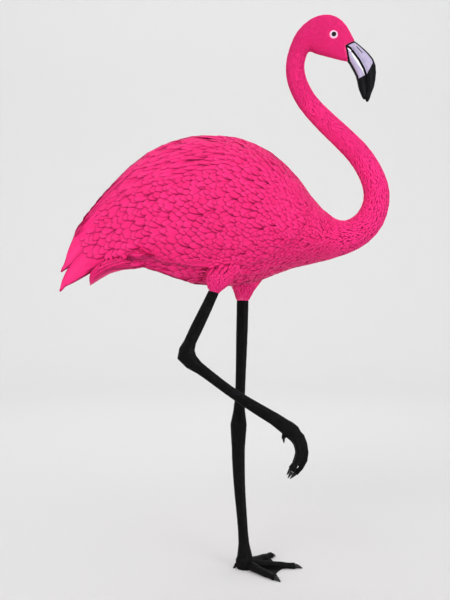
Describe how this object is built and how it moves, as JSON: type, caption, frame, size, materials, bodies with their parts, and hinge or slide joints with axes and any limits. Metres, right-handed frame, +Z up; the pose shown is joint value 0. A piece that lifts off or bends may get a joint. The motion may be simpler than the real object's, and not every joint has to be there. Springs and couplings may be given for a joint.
{
  "type": "life-size american flamingo, standing on one leg",
  "caption": "Still life-size model of an American flamingo resting on its left leg, the right leg drawn up and crossed in front, neck in a tall S and bill bent down.",
  "frame": {"origin": "on the floor under the standing (left) foot, where the leg meets it", "axes": "+Z up, +X the way the bird faces, +Y towards its left side"},
  "size_m": [0.7264, 0.2354, 1.2177],
  "materials": {
    "plumage": "soft pink feathers",
    "short_plumage": "short pink feathers close over flesh",
    "bill": "pale lilac-grey horn with a black tip",
    "leg_scales": "near-black scaled skin",
    "claw": "black horn",
    "eye": "glossy, pale lilac iris with a black pupil"
  },
  "bodies": {
    "root": {"trunk": "plumage", "wing_left": "plumage", "wing_right": "plumage", "tail": "plumage", "thigh_left": "short_plumage", "thigh_right": "short_plumage", "neck_lower": "short_plumage", "neck_middle": "short_plumage", "neck_upper": "short_plumage", "head": "short_plumage", "bill_upper": "bill", "bill_lower": "bill", "eye_left": "eye", "eye_right": "eye", "shank_left": "leg_scales", "shank_right": "leg_scales", "tarsus_left": "leg_scales", "tarsus_right": "leg_scales", "foot_left": "leg_scales", "foot_right": "leg_scales", "claw_left_middle": "claw", "claw_left_inner": "claw", "claw_left_outer": "claw", "claw_left_hind": "claw", "claw_right_middle": "claw", "claw_right_inner": "claw", "claw_right_outer": "claw", "claw_right_hind": "claw"}
  },
  "joints": []
}
